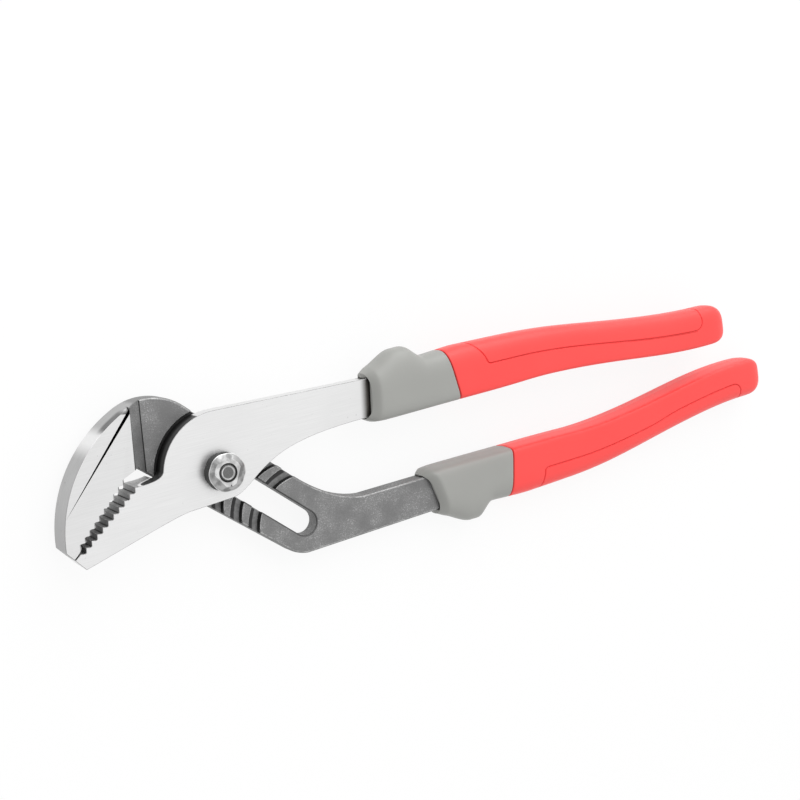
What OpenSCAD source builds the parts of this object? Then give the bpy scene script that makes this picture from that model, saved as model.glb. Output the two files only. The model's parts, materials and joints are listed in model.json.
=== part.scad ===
// Groove-joint water pump pliers, lying on the bolt head and the lower grip.
// The pivot axis is the Z axis, +X points to the grips and +Y to the upper handle.

/* [Pivot] */
// Diameter of the bolt's neck, on which the front lever turns
neck_d = 9.1; // [7:0.1:10]
// Play between the neck and the front lever's bore, on the radius
bore_play = 0.05; // [0.02:0.01:0.1]
// Play between the neck and the sides of the slot
slot_play = 0.1; // [0.05:0.05:0.3]
// Diameter of the bolt's threaded end
thread_d = 6.4; // [5:0.1:7]
// Play between the thread and the nut, on the radius
thread_play = 0.03; // [0.02:0.01:0.1]
// Diameter of the bolt head at the back
head_d = 17; // [14:0.5:20]
// Thickness of the bolt head
head_t = 4.25; // [3:0.25:5]
// Chamfer round the bolt head
head_chamfer = 0.8; // [0.2:0.1:1.5]
// Width of the nut across its flats
nut_af = 13.1; // [11:0.1:15]
// Diameter to which the nut's corners are turned down
nut_od = 14; // [11.5:0.1:16]
// Height of the nut
nut_h = 5.1; // [3:0.1:6]
// Diameter of the flat on top of the nut
nut_top_d = 10.4; // [8:0.1:11.5]
// Height of the cone below that flat
nut_cone_h = 1; // [0.5:0.1:2.5]
// Chamfer on the end of the thread
thread_chamfer = 0.7; // [0.2:0.1:1]

/* [Groove joint] */
// Number of places where the bolt can sit in the slot
places = 6; // [4:1:8]
// Distance from one place to the next
pitch = 8.3; // [7:0.1:9.5]
// Width of each curved groove
groove_w = 4.6; // [3.5:0.1:5.5]
// Part of the groove that shows beside the front lever's neck
groove_lead = 1.2; // [0.5:0.1:2]
// Depth of each curved groove
groove_depth = 2.2; // [1:0.1:3]
// Play round the tongue in its groove
tongue_play = 0.3; // [0.1:0.05:0.5]
// Angle of the slotted web below the handle direction
web_angle = 43; // [38:1:48]
// Width of the slotted web
web_w = 25; // [22:0.5:28]
// Thickness of the slotted web
web_t = 6.5; // [5:0.25:8]
// Thickness of the front lever where it laps the web
lap_t = 5.85; // [4.5:0.05:7]
// Gap between the lapped faces, and under the nut
lap_gap = 0.15; // [0.1:0.05:0.3]
// Radius of the front lever's neck about the pivot
neck_r = 21.5; // [20:0.5:24]

/* [Jaws] */
// Distance from the pivot back to the jaw tips
jaw_reach = 56; // [52:0.5:62]
// Drop of the jaw tips below the pivot
jaw_drop = 16.2; // [13:0.2:19]
// Gap between the closed tips
tip_gap = 0.3; // [0.2:0.05:0.6]
// Width of the lower jaw's tip
lower_tip = 5.1; // [3:0.1:7]
// Width of the upper jaw's tip
upper_tip = 3.65; // [3:0.05:6]
// Slope of the ground tips
tip_slope = 52.5; // [45:0.5:60]
// Rise of the lower row of teeth
bite_angle = 37.5; // [34:0.5:41]
// Angle by which the rows of teeth open towards the throat
bite_wedge = 6.1; // [4:0.1:8]
// Pitch of the teeth
tooth_pitch = 2.8; // [2.4:0.1:3]
// Depth of the teeth
tooth_depth = 1.4; // [0.8:0.1:1.8]
// Number of teeth in each row
teeth = 10; // [7:1:10]
// Flat land at the lower jaw's tip
lower_land = 2.6; // [1.5:0.1:4]
// Outer radius of the upper jaw's back
hook_r = 49; // [44:0.5:56]
// Radius of the upper jaw's crown
crown_r = 20.5; // [18:0.5:24]
// Distance along the web from the pivot to the throat
throat_back = 27; // [25:0.5:30]
// Gap between the front lever's neck and the foot of the shoulder
shoulder_gap = 3.8; // [1:0.1:5]
// Run of the sloped shoulder between the upper jaw and the web
shoulder_run = 5.4; // [3:0.1:7]
// Depth of the front lever's boss below the pivot
boss_drop = 10.2; // [9:0.1:12]

/* [Handles] */
// Distance from the pivot to the upper grip's mouth
upper_mouth = 60; // [54:1:70]
// Height of the upper tang above the pivot
upper_rise = 12.4; // [11:0.1:15]
// Distance from the pivot to the lower grip's mouth
lower_mouth = 84.5; // [80:0.5:95]
// Distance from the end of the slot down to the lower tang's middle
bend_drop = 3.3; // [2:0.1:6]
// Width of the tangs at the mouths of the grips
tang_w = 14.3; // [12:0.1:16]
// Width of the tangs at their ends
tang_end_w = 10; // [7:0.5:12]
// Length of the tangs inside the grips
tang_l = 150; // [120:1:160]

/* [Grips] */
// Length of each grip
grip_l = 181; // [170:1:200]
// Width of the grips at the collar
grip_w = 20; // [19:0.1:23]
// Width of the grips near their ends
grip_end_w = 16.4; // [14:0.1:19]
// Thickness of the grips
grip_t = 15; // [13:0.5:17]
// Length of the grey collar
collar_l = 37.5; // [34:0.5:42]
// Height of the thumb stop on the collar
stop_h = 5.3; // [3:0.1:7]
// Length of the rounded end
end_l = 9; // [6:0.5:12]
// Sideways sweep of the upper handle towards the lower one
upper_sweep = 6.5; // [3:0.1:9]
// Sideways sweep of the lower handle towards the upper one
lower_sweep = 9.6; // [5:0.1:11]
// Outward bow of both handles before they sweep in
grip_bow = 0.6; // [0:0.1:2]
// Slant of the upper collar's mouth
upper_slant = 0.13; // [0:0.01:0.3]
// Slant of the lower collar's mouth
lower_slant = 0.28; // [0:0.01:0.3]
// Setback of the collars' mouths at their flat faces
lip_back = 1.8; // [0:0.1:3]
// Play between the tangs and the grips
pocket_play = 0.2; // [0.05:0.05:0.4]
// Distance from the mouth to the palm pad
pad_start = 52; // [46:1:60]
// Distance from the end of the palm pad to the end of the grip
pad_back = 16; // [11:0.5:30]
// Depth of the palm pad
pad_t = 1.6; // [0.8:0.1:2]
// Outward swell of the palm pad
pad_rise = 0.8; // [0:0.1:1.5]

/* [Hidden] */
$fn = 64;

// Levels of the stack, from the surface that the pliers lie on
web_top = head_t + web_t;
lap_z = web_top + lap_gap;
face_z = lap_z + lap_t;
nut_z = face_z + lap_gap;
jaw_t = face_z - head_t;
upper_z = lap_z + lap_t / 2;
lower_z = head_t + web_t / 2;

// Directions along and across the slotted web
along = [cos(web_angle), -sin(web_angle)];
across = [sin(web_angle), cos(web_angle)];
slot_l = (places - 1) * pitch;
slot_w = neck_d + 2 * slot_play;

// Directions along the two rows of teeth, and square to them
upper_angle = bite_angle + bite_wedge;
lower_row = [cos(bite_angle), sin(bite_angle)];
upper_row = [cos(upper_angle), sin(upper_angle)];
lower_up = [-lower_row[1], lower_row[0]];
upper_up = [-upper_row[1], upper_row[0]];
tip = [-jaw_reach, -jaw_drop];
tip_line = [cos(tip_slope), -sin(tip_slope)];
upper_land = lower_land + tooth_pitch / 2;

// The upper jaw's back starts at the far side of its tip, and its crown runs from there to the web's edge
back_lean = 3.3;
crown_out = 0.5;
lower_start = tip - lower_up * tip_gap / 2;
upper_start = tip + upper_up * tip_gap / 2;
upper_back = upper_start - upper_tip * tip_line;
hook_c = upper_back + hook_r * [cos(back_lean), -sin(back_lean)];
crown_in = web_w / 2 + crown_out - crown_r;
crown_span = sqrt(pow(hook_r - crown_r, 2) - pow(crown_in - hook_c * across, 2));
crown_c = (hook_c * along - crown_span) * along + crown_in * across;
join_angle = atan2(crown_c[1] - hook_c[1], crown_c[0] - hook_c[0]);

// Middle of the lower tang, from the far end of the slot
lower_y = (along * slot_l)[1] - bend_drop;
shoulder_foot = neck_r + shoulder_gap;
jaw_clear = 0.5;
throat_gap = 1;
far = 400;

// What sets the two grips apart: sweep, slant of the mouth, thickness of the tang
upper_grip = [upper_sweep, upper_slant, lap_t];
lower_grip = [lower_sweep, lower_slant, web_t];

function reversed(list) = [for (i = [len(list) - 1:-1:0]) list[i]];
function smooth(t) = let (u = max(0, min(1, t))) u * u * (3 - 2 * u);
function bezier(p, n = 12) = [for (i = [0:n]) let (t = i / n, u = 1 - t)
    p[0] * u * u * u + 3 * p[1] * t * u * u + 3 * p[2] * t * t * u + p[3] * t * t * t];
function arc(c, r, a0, a1, n = 24) = [for (i = [0:n]) let (a = a0 + (a1 - a0) * i / n)
    c + r * [cos(a), sin(a)]];
function row(start, dir, up) = [for (i = [0:teeth - 1]) each
    [start + i * tooth_pitch * dir, start + (i + 0.5) * tooth_pitch * dir + tooth_depth * up]];

// Sideways bend and half width of a tang at distance x into its grip
bow_l = 45;
bend_start = 70;
bend_l = 100;
function bend(x, grip) = grip_bow * smooth(x / bow_l)
    - (grip[0] + grip_bow) * smooth((x - bend_start) / bend_l);
function tang_half(x) = (tang_w + (tang_end_w - tang_w) * x / tang_l) / 2;
tang_steps = [for (x = [0, 0.1, 0.2, 0.3, 0.5, 0.58, 0.66, 0.74, 0.82, 0.9, 1]) x * tang_l];

// Outline of a tang, from the mouth along one side and back along the other
function tang_outline(mouth, y, grip, side) = [
    for (x = tang_steps) [mouth + x, y + side * (bend(x, grip) + tang_half(x))],
    for (x = reversed(tang_steps)) [mouth + x, y + side * (bend(x, grip) - tang_half(x))]];

module front_outline() {
    neck_start = 167;
    neck_end = 88;
    throat_run = 2.6;
    chin_x = 2;
    arm_x = 13;
    arm_rise = 5.7;
    root_pull = [0.9, 2];
    tang_pull = [26, 0.1];
    arm_pull = [10, 7];
    boss_pull = [3.5, 2.4];
    belly_back = 4;
    belly_dip = 0.7;
    belly_pull = [5.5, 0.45];
    heel_pull = [14, 3.5];
    first = lower_start + lower_land * lower_row;
    last = first + teeth * tooth_pitch * lower_row;
    heel = lower_start + lower_tip * tip_line;
    throat = last + [throat_run, 0];
    root = neck_r * [cos(neck_start), sin(neck_start)];
    belly = [-boss_drop - belly_back, -boss_drop - belly_dip];
    chin = [chin_x, -boss_drop];
    arm = [arm_x, arm_rise - boss_drop];
    tang_low = [upper_mouth, upper_rise - tang_w / 2];
    polygon(concat(
        [lower_start],
        row(first, lower_row, -lower_up),
        [last],
        bezier([throat, [(throat[0] + root[0]) / 2, throat[1]], root - root_pull, root], 8),
        arc([0, 0], neck_r, neck_start, neck_end),
        tang_outline(upper_mouth, upper_rise, upper_grip, 1),
        bezier([tang_low, tang_low - tang_pull, arm + arm_pull, arm]),
        bezier([arm, arm - boss_pull, chin + [boss_pull[0], 0], chin], 6),
        bezier([belly, belly - belly_pull, heel + heel_pull, heel])));
}

module rear_outline() {
    elbow_back = 12;
    elbow_run = 26;
    elbow_pull = 7.2;
    tang_pull = [10.5, -1];
    corner_round = 4;
    corner_drop = 0.85;
    corner_run = 2;
    first = upper_start + upper_land * upper_row;
    throat = along * -throat_back - across * (web_w / 2 + throat_gap);
    elbow = along * (slot_l - elbow_back) + across * web_w / 2;
    tang_top = [elbow[0] + elbow_run, lower_y + tang_w / 2];
    corner_y = lower_y - tang_w / 2 - corner_drop;
    corner = along * (corner_y + across[1] * web_w / 2) / along[1] - across * web_w / 2 + [corner_run, 0];
    web_edge = (corner - throat) / norm(corner - throat);
    polygon(concat(
        arc(hook_c, hook_r, 180 - back_lean, join_angle),
        arc(crown_c, crown_r, join_angle, 90 - web_angle),
        bezier([elbow, elbow + elbow_pull * along, tang_top - tang_pull, tang_top]),
        reversed(tang_outline(lower_mouth, lower_y, lower_grip, -1)),
        bezier([corner + [corner_round, 0], corner + [corner_round / 2, 0],
                corner - web_edge * corner_round / 2, corner - web_edge * corner_round], 8),
        [throat],
        reversed(row(first, upper_row, upper_up)),
        [upper_start]));
}

module front_lever() {
    tongue_span = 76;
    tongue_r = neck_r - tongue_play;
    tongue_w = groove_w - groove_lead - 2 * tongue_play;
    tongue_h = groove_depth - tongue_play + lap_gap;
    color("gainsboro") difference() {
        union() {
            translate([0, 0, lap_z]) linear_extrude(lap_t) front_outline();
            difference() {
                translate([0, 0, head_t]) linear_extrude(jaw_t) front_outline();
                cylinder(r = neck_r + jaw_clear, h = far, center = true);
                rotate(-web_angle) translate([-far / 2, -web_w / 2 - throat_gap - jaw_clear, -far / 2])
                    cube(far);
            }
            translate([0, 0, lap_z - tongue_h]) rotate(180 - web_angle - tongue_span / 2)
                rotate_extrude(angle = tongue_span) translate([tongue_r - tongue_w, 0])
                    square([tongue_w, tongue_h + lap_t / 2]);
        }
        cylinder(d = neck_d + 2 * bore_play, h = far);
    }
}

// Groove for the tongue when the bolt sits in place i
module groove(i) {
    span = 96;
    outer = neck_r + groove_lead;
    translate(along * i * pitch) rotate(180 - web_angle - span / 2) translate([0, 0, web_top - groove_depth])
        rotate_extrude(angle = span) translate([outer - groove_w, 0]) square([groove_w, groove_depth + 1]);
}

// Side view of the shoulder, which keeps the full thickness for the upper jaw only
module shoulder_profile() {
    over = 1;
    slope = shoulder_run / (face_z - web_top);
    polygon([[-far, 0], [-far, face_z + over], [-shoulder_foot - shoulder_run - over * slope, face_z + over],
             [-shoulder_foot + over * slope, web_top - over], [-shoulder_foot + over * slope, 0]]);
}

module rear_lever() {
    tilt = 5;
    color("dimgray") difference() {
        union() {
            translate([0, 0, head_t]) linear_extrude(web_t) rear_outline();
            intersection() {
                translate([0, 0, head_t]) linear_extrude(jaw_t) rear_outline();
                rotate(-tilt) rotate([90, 0, 0]) linear_extrude(far, center = true) shoulder_profile();
            }
        }
        for (i = [0:places - 1]) groove(i);
        rotate(-web_angle) {
            cylinder(d = slot_w, h = far);
            translate([0, -slot_w / 2, 0]) cube([slot_l, slot_w, far]);
            translate([slot_l, 0, 0]) cylinder(d = slot_w, h = far);
        }
    }
}

module pivot_bolt() {
    end_z = nut_z + nut_h;
    color("silver") rotate_extrude()
        polygon([[0, 0], [head_d / 2 - head_chamfer, 0], [head_d / 2, head_chamfer], [head_d / 2, head_t],
                 [neck_d / 2, head_t], [neck_d / 2, nut_z],
                 [thread_d / 2, nut_z], [thread_d / 2, end_z - thread_chamfer],
                 [thread_d / 2 - thread_chamfer, end_z], [0, end_z]]);
}

module pivot_nut() {
    color("silver") translate([0, 0, nut_z]) difference() {
        intersection() {
            cylinder(d = nut_af / cos(30), h = nut_h, $fn = 6);
            rotate_extrude()
                polygon([[0, 0], [nut_od / 2, 0], [nut_od / 2, nut_h - nut_cone_h],
                         [nut_top_d / 2, nut_h], [0, nut_h]]);
        }
        translate([0, 0, -1]) cylinder(d = thread_d + 2 * thread_play, h = nut_h + 2);
    }
}

// Grips: a skin of rings, each with the same number of points, from the mouth at x = 0.
// Their outer side, with the thumb stop and the palm pad, faces +Y before they are placed.
ring_n = 32;
quarter = ring_n / 4;
outer_power = 2.9;
inner_power = 4.2;
collar_slant = -0.17;
rim_y = 1;
rim_z = 2.6;
rim_l = 3.5;
lip_l = 14;
stop_rise_l = 15.5;
stop_fall = 19.5;
stop_fall_l = 10;
taper_l = 90;
end_power = 2.6;
pad_ramp = 0.5;
pad_end = grip_l - pad_back;
swell_l = 20;

// Angles of a ring's points, of which two are turned to the edges of the palm pad
seam_turn = 3.3;
ring_angles = [for (i = [0:ring_n - 1])
    i == quarter ? 90 - seam_turn : i == 3 * quarter ? 270 + seam_turn : 360 * i / ring_n];
seam_cos = cos(90 - 1.5 * seam_turn);

function lobe(v, power) = sign(v) * pow(abs(v), 2 / power);
function boxed(v) = max(-1, min(1, v * sqrt(2)));
function slant(x, grip) = x < collar_l
    ? grip[1] + (collar_slant - grip[1]) * x / collar_l
    : collar_slant * (1 - smooth((x - collar_l) / (pad_start - collar_l)));
function thumb_stop(x) = stop_h * (smooth(x / stop_rise_l) - smooth((x - stop_fall) / stop_fall_l));
function swell(x) = pad_rise
    * (smooth((x - collar_l) / swell_l) - smooth((x - pad_end + swell_l) / swell_l));
function half_width(x) = (grip_w + (grip_end_w - grip_w) * smooth((x - collar_l) / taper_l)) / 2;
function lip(x, rise) = lip_back * rise * rise * (1 - smooth(x / lip_l));
function rim(x) = x < rim_l ? pow(1 - x / rim_l, 2) : 0;
function end_round(x) = let (u = max(0, (x - grip_l + end_l) / end_l))
    pow(max(0, 1 - pow(u, end_power)), 1 / end_power);

// One ring of the outer surface, sunk by depth where the palm pad goes
function outer_ring(x, grip, depth = 0) = let (
    f = end_round(x),
    hy = half_width(x) - rim_y * rim(x),
    hz = grip_t / 2 - rim_z * rim(x))
    [for (a = ring_angles) let (
        sunk = cos(a) > seam_cos ? depth : 0,
        out = cos(a) > 0 ? thumb_stop(x) + swell(x) : 0,
        power = cos(a) > 0 ? outer_power : inner_power,
        y = f * (hy + out - sunk) * lobe(cos(a), power))
        [x + slant(x, grip) * y + lip(x, sin(a)), bend(x, grip) + y, f * (hz - sunk) * lobe(sin(a), power)]];

// One ring of the pocket that holds the tang
function pocket_ring(x, grip) = [for (a = ring_angles) let (
    y = (tang_half(min(x, tang_l)) + pocket_play) * boxed(cos(a)))
    [x + slant(x, grip) * y + lip(x, sin(a)), bend(x, grip) + y,
     (grip[2] / 2 + pocket_play) * boxed(sin(a))]];

function middle(ring) = [for (i = [0:len(ring) - 1]) 1] * ring / len(ring);

// Skin over a list of rings: closed by caps at both ends, or joined end to end
module skin(rings, looped = false) {
    n = len(rings[0]);
    m = len(rings);
    wall = [for (j = [0:looped ? m - 1 : m - 2]) for (i = [0:n - 1]) let (
        next_i = (i + 1) % n,
        next_j = (j + 1) % m,
        a = j * n + i, b = j * n + next_i, c = next_j * n + next_i, d = next_j * n + i)
        each [[c, b, a], [d, c, a]]];
    caps = looped ? [] : [for (i = [0:n - 1]) let (next_i = (i + 1) % n, end = (m - 1) * n)
        each [[i, next_i, n * m], [end + next_i, end + i, n * m + 1]]];
    middles = looped ? [] : [middle(rings[0]), middle(rings[m - 1])];
    polyhedron(concat([for (r = rings) each r], middles), concat(wall, caps));
}

stop_end = stop_fall + stop_fall_l;
stop_parts = 10;
collar_steps = concat([for (u = [0, 0.2, 0.5]) u * rim_l],
    [for (i = [0:stop_parts]) rim_l + (stop_end - rim_l) * i / stop_parts]);
pad_parts = 12;
pad_steps = [for (i = [0:pad_parts])
    pad_start + pad_ramp + (pad_end - pad_start - 2 * pad_ramp) * i / pad_parts];
end_steps = [for (u = [0, 0.35, 0.6, 0.8, 0.92, 0.985]) grip_l - end_l + u * end_l];

module collar(grip) {
    skin(concat(
        [for (x = collar_steps) outer_ring(x, grip)],
        [outer_ring(collar_l, grip), pocket_ring(collar_l, grip)],
        [for (x = reversed(tang_steps)) if (x < collar_l) pocket_ring(x, grip)]), true);
}

module sleeve(grip) {
    skin(concat(
        [pocket_ring(tang_l + 1, grip)],
        [for (x = reversed(tang_steps)) if (x > collar_l) pocket_ring(x, grip)],
        [pocket_ring(collar_l, grip), outer_ring(collar_l, grip)],
        [outer_ring((collar_l + pad_start) / 2, grip), outer_ring(pad_start, grip)],
        [for (x = pad_steps) outer_ring(x, grip, pad_t)],
        [outer_ring(pad_end, grip)],
        [for (x = end_steps) outer_ring(x, grip)]));
}

// The palm pad fills the sunk part of the sleeve: a sheet of m rows of n points over a bed.
// Both have the same edge, so a bed point on the edge is the sheet's.
module palm_pad(grip) {
    part = [for (i = [-quarter:quarter]) (i + ring_n) % ring_n];
    steps = concat([pad_start], pad_steps, [pad_end]);
    n = len(part);
    m = len(steps);
    top = [for (x = steps) let (r = outer_ring(x, grip)) each [for (i = part) r[i]]];
    bed = [for (x = steps) let (r = outer_ring(x, grip, pad_t)) each [for (i = part) r[i]]];
    function on_edge(k) = k % n == 0 || k % n == n - 1 || k < n || k >= n * (m - 1);
    sheet = [for (j = [0:m - 2]) for (i = [0:n - 2]) let (
        a = j * n + i, b = a + 1, c = b + n, d = a + n)
        for (f = [[c, b, a], [d, c, a]]) if (!(on_edge(f[0]) && on_edge(f[1]) && on_edge(f[2]))) f];
    under = [for (f = sheet) [for (k = [f[2], f[1], f[0]]) on_edge(k) ? k : k + n * m]];
    polyhedron(concat(top, bed), concat(sheet, under));
}

module on_upper_tang() {
    translate([upper_mouth, upper_rise, upper_z]) children();
}

module on_lower_tang() {
    translate([lower_mouth, lower_y, lower_z]) mirror([0, 1, 0]) children();
}

module upper_collar() { color("darkgray") on_upper_tang() collar(upper_grip); }
module upper_sleeve() { color("tomato") on_upper_tang() sleeve(upper_grip); }
module upper_palm_pad() { color("salmon") on_upper_tang() palm_pad(upper_grip); }
module lower_collar() { color("darkgray") on_lower_tang() collar(lower_grip); }
module lower_sleeve() { color("tomato") on_lower_tang() sleeve(lower_grip); }
module lower_palm_pad() { color("salmon") on_lower_tang() palm_pad(lower_grip); }

front_lever();
rear_lever();
pivot_bolt();
pivot_nut();
upper_collar();
upper_sleeve();
upper_palm_pad();
lower_collar();
lower_sleeve();
lower_palm_pad();
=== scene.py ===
import json
import math

import bmesh
import bpy
import numpy as np
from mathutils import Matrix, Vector

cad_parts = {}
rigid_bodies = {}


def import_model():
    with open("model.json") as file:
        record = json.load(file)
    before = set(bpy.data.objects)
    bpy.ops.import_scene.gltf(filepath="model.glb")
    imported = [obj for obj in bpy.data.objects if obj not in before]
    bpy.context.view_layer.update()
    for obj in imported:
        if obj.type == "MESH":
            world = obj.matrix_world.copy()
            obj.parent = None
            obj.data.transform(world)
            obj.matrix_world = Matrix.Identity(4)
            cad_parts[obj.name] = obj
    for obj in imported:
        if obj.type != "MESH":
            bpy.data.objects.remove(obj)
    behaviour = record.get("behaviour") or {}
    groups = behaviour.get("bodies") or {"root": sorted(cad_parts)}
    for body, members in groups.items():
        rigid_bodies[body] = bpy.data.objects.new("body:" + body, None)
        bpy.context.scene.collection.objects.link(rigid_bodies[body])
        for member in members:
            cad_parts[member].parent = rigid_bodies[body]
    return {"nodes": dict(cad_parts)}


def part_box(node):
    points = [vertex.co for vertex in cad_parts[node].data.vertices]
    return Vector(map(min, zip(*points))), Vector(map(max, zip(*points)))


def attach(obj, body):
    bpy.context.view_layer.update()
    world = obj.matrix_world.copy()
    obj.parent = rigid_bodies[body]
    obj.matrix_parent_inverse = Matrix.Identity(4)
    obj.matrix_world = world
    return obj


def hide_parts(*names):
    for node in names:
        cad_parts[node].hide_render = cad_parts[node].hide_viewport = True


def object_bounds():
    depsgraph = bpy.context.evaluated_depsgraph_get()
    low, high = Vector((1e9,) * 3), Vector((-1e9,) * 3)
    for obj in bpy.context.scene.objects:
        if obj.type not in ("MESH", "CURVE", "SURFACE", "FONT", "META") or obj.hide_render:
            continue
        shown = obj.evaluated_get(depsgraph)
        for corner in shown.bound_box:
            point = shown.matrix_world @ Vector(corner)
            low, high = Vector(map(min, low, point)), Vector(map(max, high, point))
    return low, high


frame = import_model()
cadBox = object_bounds()
mm = 0.001
print("frame loaded")


# small helpers for working on one object at a time, with lengths in millimetres and angles in degrees

meshSizes = {"merge": 0.003, "weld": 0.002, "flatAngle": 0.4, "sharpAngle": 28.0, "smoothAngle": 40.0}


def deselectAll():
    if bpy.context.object and bpy.context.object.mode != "OBJECT":
        bpy.ops.object.mode_set(mode="OBJECT")
    bpy.ops.object.select_all(action="DESELECT")


def workOn(piece):
    deselectAll()
    piece.select_set(True)
    bpy.context.view_layer.objects.active = piece


def applyModifier(piece, kind, **settings):
    workOn(piece)
    modifier = piece.modifiers.new(kind.lower(), kind)
    for name, value in settings.items():
        setattr(modifier, name, value)
    bpy.ops.object.modifier_apply(modifier=modifier.name)


def cutWith(piece, tool):
    applyModifier(piece, "BOOLEAN", operation="DIFFERENCE", object=tool, solver="EXACT")
    bpy.data.objects.remove(tool)


def copyOfNode(node, pieceName):
    # the CAD mesh is loose triangles, so the copy is merged and its flat faces are joined
    piece = bpy.data.objects.new(pieceName, frame["nodes"][node].data.copy())
    bpy.context.scene.collection.objects.link(piece)
    piece.data.materials.clear()
    workOn(piece)
    bpy.ops.object.mode_set(mode="EDIT")
    bpy.ops.mesh.select_all(action="SELECT")
    bpy.ops.mesh.remove_doubles(threshold=meshSizes["merge"] * mm)
    bpy.ops.mesh.dissolve_limited(angle_limit=math.radians(meshSizes["flatAngle"]))
    bpy.ops.object.mode_set(mode="OBJECT")
    return piece


def pick(piece, kind, test):
    # edit mode, with only the points, edges or faces selected that pass the test
    workOn(piece)
    bpy.ops.object.mode_set(mode="EDIT")
    bpy.ops.mesh.select_mode(type=kind)
    bpy.ops.mesh.select_all(action="DESELECT")
    mesh = bmesh.from_edit_mesh(piece.data)
    for element in {"VERT": mesh.verts, "EDGE": mesh.edges, "FACE": mesh.faces}[kind]:
        element.select_set(test(element))
    bmesh.update_edit_mesh(piece.data)


def bevelSelected(width, segments, material=-1):
    bpy.ops.mesh.bevel(offset=width * mm, segments=segments, affect="EDGES",
                       clamp_overlap=False, material=material)


def easeEdges(piece, width, segments, test, material=-1):
    pick(piece, "EDGE", test)
    bevelSelected(width, segments, material)
    bpy.ops.object.mode_set(mode="OBJECT")


def mergeClose(piece, distance, test):
    # joins the points that several bevels left on top of one another
    pick(piece, "VERT", lambda vertex: test(vertex.co / mm))
    bpy.ops.mesh.remove_doubles(threshold=distance * mm)
    bpy.ops.object.mode_set(mode="OBJECT")


def sharp(edge):
    return len(edge.link_faces) == 2 and edge.calc_face_angle() > math.radians(meshSizes["sharpAngle"])


def outwardCorner(edge):
    return sharp(edge) and edge.is_convex


def inwardCorner(edge):
    return sharp(edge) and not edge.is_convex


def edgeRise(edge):
    return abs(edge.verts[0].co.z - edge.verts[1].co.z) / mm


def upright(face):
    return abs(face.normal.z) < 0.2


def facesUp(face):
    return face.normal.z > 0.9


def smoothShade(piece, angle):
    workOn(piece)
    bpy.ops.object.shade_smooth_by_angle(angle=math.radians(angle))


def finishShading(piece):
    smoothShade(piece, meshSizes["smoothAngle"])
    applyModifier(piece, "WEIGHTED_NORMAL", keep_sharp=True)


def keepWithin(piece, box):
    # easing can throw the odd point a hair outside the solid
    for vertex in piece.data.vertices:
        vertex.co = [min(max(place, low), high) for place, low, high in zip(vertex.co, *box)]


def numbered(finishes):
    return {kind: index for index, kind in enumerate(finishes)}


def paint(piece, finishes):
    for finish in finishes.values():
        piece.data.materials.append(finish.material)


def paintFaces(piece, finishes, kindOf):
    paint(piece, finishes)
    for face in piece.data.polygons:
        face.material_index = numbered(finishes)[kindOf(face)]


def settle(piece, body, node):
    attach(piece, body)
    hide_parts(node)


# shader maths as Python expressions

class Wire:
    def __init__(self, socket):
        self.socket = socket

    def step(self, operation, first, second, clamp=False):
        tree = self.socket.id_data
        node = tree.nodes.new("ShaderNodeMath")
        node.operation = operation
        node.use_clamp = clamp
        for socket, value in zip(node.inputs, (first, second)):
            if isinstance(value, Wire):
                tree.links.new(value.socket, socket)
            else:
                socket.default_value = value
        return Wire(node.outputs[0])

    def __add__(self, other):
        return self.step("ADD", self, other)

    def __radd__(self, other):
        return self.step("ADD", other, self)

    def __sub__(self, other):
        return self.step("SUBTRACT", self, other)

    def __rsub__(self, other):
        return self.step("SUBTRACT", other, self)

    def __mul__(self, other):
        return self.step("MULTIPLY", self, other)

    def __pow__(self, other):
        return self.step("POWER", self, other)

    def __gt__(self, other):
        return self.step("GREATER_THAN", self, other)

    def __lt__(self, other):
        return self.step("LESS_THAN", self, other)

    def clamped(self):
        return self.step("ADD", self, 0.0, clamp=True)


class Nodes:
    def __init__(self, tree, space):
        self.tree = tree
        self.place = self.node("ShaderNodeTexCoord", out=space)

    def give(self, node, values):
        for name, value in values.items():
            socket = node.inputs[name] if isinstance(name, int) else node.inputs[name.replace("_", " ")]
            if isinstance(value, Wire):
                self.tree.links.new(value.socket, socket)
            else:
                socket.default_value = value

    def node(self, kind, settings=None, sockets=None, out=0):
        made = self.tree.nodes.new(kind)
        for name, value in (settings or {}).items():
            setattr(made, name, value)
        self.give(made, sockets or {})
        return Wire(made.outputs[out])

    def stretched(self, scale, turn=0.0):
        return self.node("ShaderNodeMapping", sockets={
            "Vector": self.place, "Rotation": (0.0, 0.0, turn), "Scale": scale})

    def noise(self, scale, detail=2.0, where=None, roughness=0.5):
        return self.node("ShaderNodeTexNoise", sockets={
            "Vector": where or self.place, "Scale": scale, "Detail": detail, "Roughness": roughness})

    def between(self, value, low, high):
        return self.node("ShaderNodeMapRange", {"interpolation_type": "SMOOTHSTEP"}, {
            "Value": value, "From_Min": low, "From_Max": high})

    def fade(self, place, first, last):
        # goes from 0 to 1 between two places in millimetres
        return self.between(place, first * mm, last * mm)

    def strip(self, place, first, full, fall, last):
        return self.fade(place, first, full) * (1.0 - self.fade(place, fall, last))

    def mix(self, amount, first, second):
        return self.node("ShaderNodeMix", {"data_type": "RGBA"}, {0: amount, 6: first, 7: second}, out=2)

    def bump(self, height, strength, distance):
        return self.node("ShaderNodeBump", sockets={
            "Height": height, "Strength": strength, "Distance": distance * mm})

    def coordinates(self, axes):
        split = self.node("ShaderNodeSeparateXYZ", sockets={0: self.place}).socket.node
        return [Wire(split.outputs[axis]) for axis in axes]


class Finish(Nodes):
    def __init__(self, name, **constants):
        self.material = bpy.data.materials.new(name)
        self.material.use_nodes = True
        super().__init__(self.material.node_tree, "Object")
        self.shader = self.tree.nodes["Principled BSDF"]
        self.give(self.shader, constants)


def grey(level):
    return (level, level, level, 1.0)


# finishes: each dictionary has places on the piece in millimetres

# where the painted brown shade of the collar falls on the handle
collarShadeMarks = {"edge": (56.2, 59.8), "lean": 0.13, "ragged": 0.6, "color": (0.060, 0.052, 0.044, 1.0)}


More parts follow.
